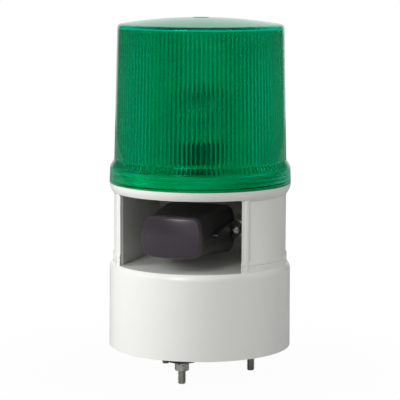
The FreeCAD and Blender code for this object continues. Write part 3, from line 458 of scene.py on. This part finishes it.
def pan_head_screws(node, axis):
    """Screws in the places of a CAD node's plain ones, which lie along one axis."""
    made = []
    for corners in solids_of(node):
        middle = middle_of(corners)
        reach = [corner - middle for corner in corners]
        radii = [(place - axis * place.dot(axis)).length for place in reach]
        head, shank = max(radii), min(radii)
        ends = [place.dot(axis) for place in reach]
        rims = [end for end, radius in zip(ends, radii) if radius > (head + shank) / 2]
        out = axis if max(rims) > max(ends) - 0.01 * MM else -axis
        seat = min(rims) if out == axis else max(rims)
        thick = max(rims) - min(rims)
        screw = pan_head_screw(head, shank, thick, max(ends) - min(ends) - thick)
        turn = UP.rotation_difference(out).to_matrix().to_4x4()
        place = Matrix.Translation(middle + axis * seat) @ turn
        bmesh.ops.transform(screw, verts=screw.verts, matrix=place)
        made.append(screw)
    return joined(made)


def screw_thread(radius, low, high, pitch, depth, sides=32):
    """A rod with a screw thread and a 45-degree point at its lower end.

    One turn is wound upwards, doubled until it is long enough, and cut to length.
    """
    mesh = bmesh.new()
    root = radius - depth
    outline = ((radius, 0.0), (radius, 0.12), (root, 0.44), (root, 0.68), (radius, 1.0))
    points = [mesh.verts.new((across, 0, low + (up - 1.0) * pitch)) for across, up in outline]
    edges = [mesh.edges.new(pair) for pair in zip(points, points[1:])]
    bmesh.ops.spin(mesh, geom=points + edges, cent=(0, 0, 0), axis=(0, 0, 1),
                   dvec=(0, 0, pitch / sides), angle=math.tau, steps=sides)
    put_in_order(mesh)
    for doubling in range(math.ceil(math.log2((high - low) / pitch + 2))):
        doubled(mesh, Matrix.Translation((0, 0, pitch * 2 ** doubling)))
    bmesh.ops.remove_doubles(mesh, verts=mesh.verts, dist=JOIN_DISTANCE)
    for level, outwards in ((low, -1), (high, 1)):
        bmesh.ops.bisect_plane(mesh, geom=mesh.verts[:] + mesh.edges[:] + mesh.faces[:],
                               dist=0.0001 * MM, plane_co=(0, 0, level),
                               plane_no=(0, 0, outwards), clear_outer=True)
    bmesh.ops.holes_fill(mesh, edges=[edge for edge in mesh.edges if edge.is_boundary])
    point = root - 0.15 * MM
    for vert in mesh.verts:
        across = math.hypot(vert.co.x, vert.co.y)
        limit = point + (vert.co.z - low)
        if across > limit > 0:
            vert.co.xy *= limit / across
    bmesh.ops.recalc_face_normals(mesh, faces=mesh.faces)
    return mesh


def hexagon_nut(flats, bore, low, high):
    """A nut whose corners are chamfered at both ends, as a 30-degree cone cuts them."""
    rim = flats * 0.485
    sink = 0.2 * MM
    sides = math.pi / 3
    mesh = spun([(bore, low + sink), (bore + sink, low), (rim, low), (flats, low),
                 (flats, high), (rim, high), (bore + sink, high), (bore, high - sink)], 72)
    for vert in mesh.verts:
        radius = math.hypot(vert.co.x, vert.co.y)
        if radius > 0.9 * flats:
            angle = math.atan2(vert.co.y, vert.co.x) % sides - sides / 2
            corner = flats / 2 / math.cos(angle)
            fall = (corner - rim) * math.tan(math.radians(30))
            vert.co.xy *= corner / radius
            vert.co.z += fall if vert.co.z < (low + high) / 2 else -fall
    return mesh


def on_studs(pattern):
    """A copy of the mesh, which stands about Z, at each of the three studs."""
    made = []
    for corners in solids_of("rubber_washers"):
        place = middle_of(corners)
        mesh = pattern.copy()
        bmesh.ops.translate(mesh, verts=mesh.verts, vec=(place.x, place.y, 0))
        made.append(mesh)
    pattern.free()
    return joined(made)


def colour_property(name, description, value):
    return FloatVectorProperty(name=name, description=description, subtype="COLOR", size=3,
                               min=0.0, max=1.0, default=value)


def length_property(name, description, value):
    return FloatProperty(name=name, description=description, subtype="DISTANCE",
                         unit="LENGTH", min=0.0, default=value)


class LIGHT_PG_colours(bpy.types.PropertyGroup):
    """Colours of the finishes."""

    housing: colour_property("Housing", "Moulded housing", (0.80, 0.80, 0.765))
    lens: colour_property("Lens", "Clear coloured lens", (0.0, 0.525, 0.29))
    horn: colour_property("Horn", "Horn body", (0.007, 0.008, 0.008))
    cap: colour_property("Cap", "Front cap of the horn", (0.036, 0.028, 0.038))
    plating: colour_property("Plating", "Studs, nuts, washers and screws", (0.66, 0.65, 0.61))
    rubber: colour_property("Rubber", "Washers, gaskets and grommets", (0.025, 0.025, 0.025))
    floor: colour_property("Floor", "The ground under the light", (0.45, 0.45, 0.45))


class LIGHT_PG_sizes(bpy.types.PropertyGroup):
    """Sizes of the fine shapes that the solids leave out."""

    rib_count: IntProperty(name="Ribs", description="Vertical ribs inside the lens",
                           min=12, max=400, default=120)
    rib_depth: length_property("Rib depth", "Depth of a rib from crest to root", 0.6 * MM)
    thread_pitch: length_property("Thread pitch", "Pitch of the lens's thread", 3.0 * MM)
    thread_depth: length_property("Thread depth", "Depth of the lens's thread", 0.9 * MM)
    nut_flats: length_property("Nut width", "Width across a nut's flats", 10.0 * MM)
    stud_pitch: length_property("Stud pitch", "Pitch of the mounting studs' thread", 1.0 * MM)
    edge: length_property("Edge", "Rounding of moulded edges", 0.35 * MM)


def colours():
    return bpy.context.scene.warning_light_colours


def sizes():
    return bpy.context.scene.warning_light_sizes


FINISHES = {
    "ivory_plastic": lambda: painted("ivory_plastic", colours().housing, 0.22, spread=0.015),
    "green_lens": lambda: lens_finish("green_lens", colours().lens),
    "black_plastic": lambda: painted("black_plastic", colours().horn, 0.36),
    "cap_plastic": lambda: painted("cap_plastic", colours().cap, 0.26),
    "ivory_steel": lambda: painted("ivory_steel", colours().housing, 0.4),
    "zinc_steel": lambda: metal("zinc_steel", colours().plating, 0.32),
    "rubber": lambda: rubber_finish("rubber", colours().rubber),
    "glass": lambda: glass_finish("glass"),
    "bright_sheet": lambda: metal("bright_sheet", (0.9, 0.91, 0.92), 0.12),
    "brass": lambda: metal("brass", (0.78, 0.6, 0.32), 0.28),
    "white_plastic": lambda: painted("white_plastic", (0.72, 0.72, 0.69), 0.45),
    "gear_plastic": lambda: painted("gear_plastic", (0.62, 0.6, 0.52), 0.5),
    "board": lambda: painted("board", (0.02, 0.16, 0.06), 0.3),
    "dark_component": lambda: painted("dark_component", (0.03, 0.03, 0.032), 0.45),
    "ferrite": lambda: painted("ferrite", (0.05, 0.05, 0.052), 0.7),
}


def finish_of(slot):
    """The slot's material, made the first time it is asked for."""
    return bpy.data.materials.get(slot + "_finish") or FINISHES[slot]()


class LIGHT_OT_housing(bpy.types.Operator):
    """Dress the base housing, middle housing and what closes them."""

    bl_idname = "warning_light.housing"
    bl_label = "Housing"

    def execute(self, context):
        for node in ("base_housing", "middle_housing"):
            dress(node, finish_of("ivory_plastic"), sizes().edge, 3)
        for node in ("base_plate", "cable_grommet", "duct_grommets", "base_gasket",
                     "lens_gasket"):
            dress(node, finish_of(SLOT_OF[node]))
        return {"FINISHED"}


class LIGHT_OT_lens(bpy.types.Operator):
    """Model the green lens with its inner ribs and screwed flange."""

    bl_idname = "warning_light.lens"
    bl_label = "Lens"

    def execute(self, context):
        low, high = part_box("lens")
        made = lens_shell(low.z, high.z, high.x)
        finished_piece("lens_shell", made, "lens", finish_of("green_lens"),
                       ("lens",))
        return {"FINISHED"}


def lens_outline(foot, top, flange):
    """The lens's closed outline, then those of its points that carry ribs and thread."""
    thick, gate, nub = 2.4 * MM, 6.0 * MM, 0.3 * MM
    wall, crown, bore = flange - 3.65 * MM, flange - 6.15 * MM, flange - 2.9 * MM
    flange_top, flare_top, crown_height = foot + 12.25 * MM, foot + 17.25 * MM, top - 5.7 * MM
    flange_edge, wall_foot, crown_edge = 3, 4, 5
    outside = rounded([
        (bore, foot),
        (flange - 0.4 * MM, foot),
        (flange, foot + 0.4 * MM),
        (flange - 0.55 * MM, flange_top),
        (wall, flare_top),
        (crown, crown_height),
        *dome_points(crown, crown_height, top - nub, gate),
        (gate - 0.2 * MM, top - 0.05 * MM),
        (0.0, top),
    ], {flange_edge: 1.2 * MM, wall_foot: 3.5 * MM, crown_edge: 3.0 * MM})
    rings = 30
    thread = [(bore, foot + (0.8 + 11.0 * index / rings) * MM) for index in range(rings + 1)]
    ribbed = [(wall - thick, flare_top), (crown - thick, crown_height - thick - 2.5 * MM)]
    inside = rounded([
        *thread, (bore, flange_top), *ribbed, (crown - thick, crown_height - thick),
        *dome_points(crown - thick, crown_height - thick, top - nub - thick, gate),
        (0.0, top - nub - thick)], {len(thread) + 1 + len(ribbed): 2.4 * MM})
    return outside + inside[::-1], ribbed, thread[1:-1]


def lens_shell(foot, top, flange):
    """The lens as one closed shell: smooth outside, ribbed and threaded inside."""
    outline, ribbed, thread = lens_outline(foot, top, flange)
    count, depth = sizes().rib_count, sizes().rib_depth
    pitch, thread_depth = sizes().thread_pitch, sizes().thread_depth
    rib_rings = {ring_key(*point) for point in ribbed}
    thread_rings = {ring_key(*point) for point in thread}
    sides_of_rib = 8
    mesh = spun(outline, count * sides_of_rib)
    for vert in mesh.verts:
        radius = math.hypot(vert.co.x, vert.co.y)
        angle = math.atan2(vert.co.y, vert.co.x)
        ring = ring_key(radius, vert.co.z)
        if ring in rib_rings:
            out = depth * (1 - abs(math.cos(angle * count / 2)))
        elif ring in thread_rings:
            turns = (vert.co.z - foot) / pitch - angle / math.tau
            out = thread_depth * (0.5 + 0.5 * math.cos(turns * math.tau))
        else:
            continue
        vert.co.xy *= (radius + out) / radius
    return mesh


def dome_points(edge, low, high, stop, steps=7):
    """Points along a shallow dome that starts at radius edge and ends at radius stop."""
    sphere = (edge ** 2 + (high - low) ** 2) / (2 * (high - low))
    radii = [edge + (stop - edge) * (0.08 + 0.92 * step / steps) for step in range(steps + 1)]
    return [(radius, high - sphere + math.sqrt(sphere ** 2 - radius ** 2)) for radius in radii]


def ring_key(radius, height):
    """A radius and height rounded to 0.02 mm, to tell the outline's rings apart."""
    return round(radius / (0.02 * MM)), round(height / (0.02 * MM))


class LIGHT_OT_siren(bpy.types.Operator):
    """Dress the horn, its cap, driver, bracket and screws."""

    bl_idname = "warning_light.siren"
    bl_label = "Siren"

    def execute(self, context):
        for node in ("horn_body", "front_cap", "horn_bracket", "driver_magnet",
                     "driver_plate", "diaphragm"):
            dress(node, finish_of(SLOT_OF[node]), 0.3 * MM, 3)
        for node in ("siren_screws", "bracket_screws"):
            add_screws(node, REARWARDS)
        return {"FINISHED"}


class LIGHT_OT_lamp(bpy.types.Operator):
    """Dress the bulb, socket, reflector, turntable and drive."""

    bl_idname = "warning_light.lamp"
    bl_label = "Lamp"

    def execute(self, context):
        for node in ("lamp_chassis", "bearing_ring", "bulb_cap", "bulb_glass", "filament",
                     "turntable", "pinion", "motor", "motor_shaft", "reflector"):
            dress(node, finish_of(SLOT_OF[node]), 0.12 * MM)
        for node in ("socket_pillar", "lamp_socket"):
            finished_piece(node + "_form", copied_mesh(node), "housing",
                           finish_of("dark_component"), (node,), 0.12 * MM)
        for node in ("chassis_screws", "motor_screws"):
            add_screws(node, UP)
        return {"FINISHED"}


class LIGHT_OT_hardware(bpy.types.Operator):
    """Dress the studs, washers, nuts and screws under the base."""

    bl_idname = "warning_light.hardware"
    bl_label = "Mounting hardware"

    def execute(self, context):
        dress("rubber_washers", finish_of("rubber"), 0.5 * MM, 3)
        dress("flat_washers", finish_of("zinc_steel"), 0.2 * MM)
        add_screws("base_screws", UP)
        add_screws("housing_screws", UP)
        nut_low, nut_high = (corner.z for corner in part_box("hex_nuts"))
        stud_low, stud_high = (corner.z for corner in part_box("mounting_studs"))
        ring_low, ring_high = (corner.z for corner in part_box("spring_washers"))
        plate_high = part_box("base_plate")[1].z
        flats, pitch = sizes().nut_flats, sizes().stud_pitch
        radius, bore, ring_radius = 3.0 * MM, 3.15 * MM, 5.3 * MM
        zinc = finish_of("zinc_steel")

        rod = screw_thread(radius, stud_low, stud_high - 0.4 * MM, pitch, pitch * 0.55)
        stud = joined([rod, hexagon_nut(flats, 2.4 * MM, plate_high, stud_high)])
        ring = spun([(bore, ring_low), (ring_radius, ring_low), (ring_radius, ring_high),
                     (bore, ring_high)], 60, math.radians(346), math.radians(-84))
        nut = hexagon_nut(flats, bore, nut_low, nut_high)
        for node, pattern in (("mounting_studs", stud), ("spring_washers", ring),
                              ("hex_nuts", nut)):
            finished_piece(node + "_form", on_studs(pattern), body_of_node(node),
                           zinc, (node,))
        return {"FINISHED"}


def add_screws(node, axis):
    """Finished pan-head screws for a CAD node."""
    finished_piece(node + "_form", pan_head_screws(node, axis), body_of_node(node),
                   finish_of(SLOT_OF[node]), (node,))


class LIGHT_OT_electronics(bpy.types.Operator):
    """Dress the circuit board and what stands on it."""

    bl_idname = "warning_light.electronics"
    bl_label = "Electronics"

    def execute(self, context):
        for node in ("circuit_board", "board_standoffs", "transformer", "capacitors",
                     "terminal_block"):
            dress(node, finish_of(SLOT_OF[node]), 0.2 * MM)
        add_screws("board_screws", UP)
        return {"FINISHED"}


class LIGHT_OT_stage(bpy.types.Operator):
    """Set the floor, the soft light and the camera."""

    bl_idname = "warning_light.stage"
    bl_label = "Stage"

    def execute(self, context):
        scene = context.scene
        scene.view_settings.view_transform = "Standard"
        for kind in ("max", "transmission", "glossy"):
            setattr(scene.cycles, kind + "_bounces", LENS_BOUNCES)
        add_floor(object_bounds()[0].z)
        add_world(scene)
        add_lamp("key", (-1.35, -0.75, 0.7), 0.8, 17.8, mirrored=False)
        add_lamp("front", (-0.25, -1.5, 0.88), 0.5, 10.0)
        add_lamp("side", (1.4, 0.35, 0.5), 0.6, 4.0, mirrored=False)
        add_camera(scene)
        return {"FINISHED"}


def add_floor(level):
    """A white ground that keeps the object's shadow, a little darker near its foot."""
    mesh = bmesh.new()
    bmesh.ops.create_circle(mesh, cap_ends=True, radius=2.5, segments=96)
    bmesh.ops.translate(mesh, verts=mesh.verts, vec=(0, 0, level))
    data = bpy.data.meshes.new("floor")
    mesh.to_mesh(data)
    mesh.free()
    floor = bpy.data.objects.new("floor", data)
    bpy.context.scene.collection.objects.link(floor)
    finish = Finish("floor", Base_Color=opaque(colours().floor), Roughness=0.9)
    seen = seen_ray(finish.place, 0.05)
    white = finish.place.node("ShaderNodeEmission", {}, {"Strength": 1.0})
    across, along = finish.place.part(0), finish.place.part(1)
    away = (across * across + along * along) ** 0.5
    fade = ((away - 0.07) * 5.0).clamp() * 0.03 + 0.97
    finish.surface(seen.node("ShaderNodeMixShader", {}, {
        0: seen * fade, 1: finish.signal(finish.shader.outputs[0]), 2: white}))
    data.materials.append(finish.material)
    floor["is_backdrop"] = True


def seen_ray(signal, gloss):
    """1 for a ray from the camera or through glass, and gloss for a reflected one."""
    reflected = signal.light_path(GLOSSY_RAY) * gloss
    return (signal.light_path(CAMERA_RAY) + reflected
            + signal.light_path(TRANSMISSION_RAY)).clamp()


def add_world(scene):
    """White behind the object. Reflections see its sides as the dark of a studio."""
    world = bpy.data.worlds.new("studio")
    scene.world = world
    world.use_nodes = True
    tree = world.node_tree
    tree.nodes.clear()
    start = Signal(tree, None)
    direction = start.node("ShaderNodeTexCoord", output=0)
    right = (math.cos(VIEW_AZIMUTH), math.sin(VIEW_AZIMUTH), 0.0)
    sideways = start.node("ShaderNodeVectorMath", {"operation": "DOT_PRODUCT"},
                          {0: direction, 1: right}, 1)
    dark = (sideways.math("ABSOLUTE") * 5.0 - 1.6).clamp()
    seen = seen_ray(start, (1.0 - dark) * 0.7)
    fill = 1.0 - start.light_path(GLOSSY_RAY) * dark * 0.8
    ambient = 0.4
    strength = seen * (1.0 - ambient) + fill * ambient
    sky = start.node("ShaderNodeBackground", {},
                     {"Color": (1.0, 1.0, 1.0, 1.0), "Strength": strength})
    sky.wire(tree.nodes.new("ShaderNodeOutputWorld").inputs["Surface"])


def add_lamp(name, place, width, power, mirrored=True):
    """A soft rectangular light aimed at the object. mirrored shows it in reflections."""
    light = bpy.data.lights.new(name, "AREA")
    light.shape = "RECTANGLE"
    light.size = width
    light.size_y = width * 1.4
    light.energy = power
    lamp = bpy.data.objects.new(name, light)
    lamp.location = place
    window_height = 0.11
    aim = UP * window_height - Vector(place)
    lamp.rotation_euler = aim.to_track_quat("-Z", "Y").to_euler()
    lamp.visible_glossy = mirrored
    bpy.context.scene.collection.objects.link(lamp)


def add_camera(scene):
    """The photograph's view, solved from the edges of the base, lip and lens."""
    distance, height = 1.4112, 0.3049
    pitch, roll = math.radians(7.8), math.radians(0.248)
    camera = bpy.data.objects.new("camera", bpy.data.cameras.new("camera"))
    camera.data.lens = 166.7
    camera.data.sensor_width = 36.0
    camera.data.clip_end = 20.0
    turn = Matrix.Rotation(VIEW_AZIMUTH, 4, "Z")
    place = turn @ Vector((-0.0001, -distance, height))
    tilt = Matrix.Rotation(math.pi / 2 - pitch, 4, "X")
    lean = Matrix.Rotation(roll, 4, "Z")
    camera.matrix_world = Matrix.Translation(place) @ turn @ tilt @ lean
    scene.collection.objects.link(camera)
    scene.camera = camera


OPERATORS = (LIGHT_OT_housing, LIGHT_OT_lens, LIGHT_OT_siren, LIGHT_OT_lamp,
             LIGHT_OT_hardware, LIGHT_OT_electronics, LIGHT_OT_stage)


class LIGHT_PT_parts(bpy.types.Panel):
    """Lists the pieces and their colours and sizes."""

    bl_idname = "LIGHT_PT_parts"
    bl_label = "Warning Light"
    bl_space_type = "VIEW_3D"
    bl_region_type = "UI"
    bl_category = "Warning Light"

    def draw(self, context):
        for group in (context.scene.warning_light_colours, context.scene.warning_light_sizes):
            for name in group.bl_rna.properties.keys():
                if name not in ("rna_type", "name"):
                    self.layout.prop(group, name)
        for operator in OPERATORS:
            self.layout.operator(operator.bl_idname)


CLASSES = (LIGHT_PG_colours, LIGHT_PG_sizes, *OPERATORS, LIGHT_PT_parts)


def register():
    for made in CLASSES:
        bpy.utils.register_class(made)
    bpy.types.Scene.warning_light_colours = PointerProperty(type=LIGHT_PG_colours)
    bpy.types.Scene.warning_light_sizes = PointerProperty(type=LIGHT_PG_sizes)


def unregister():
    del bpy.types.Scene.warning_light_sizes
    del bpy.types.Scene.warning_light_colours
    for made in reversed(CLASSES):
        bpy.utils.unregister_class(made)


def main():
    register()
    for operator in OPERATORS:
        group, name = operator.bl_idname.split(".")
        getattr(getattr(bpy.ops, group), name)()


if __name__ == "__main__":
    main()
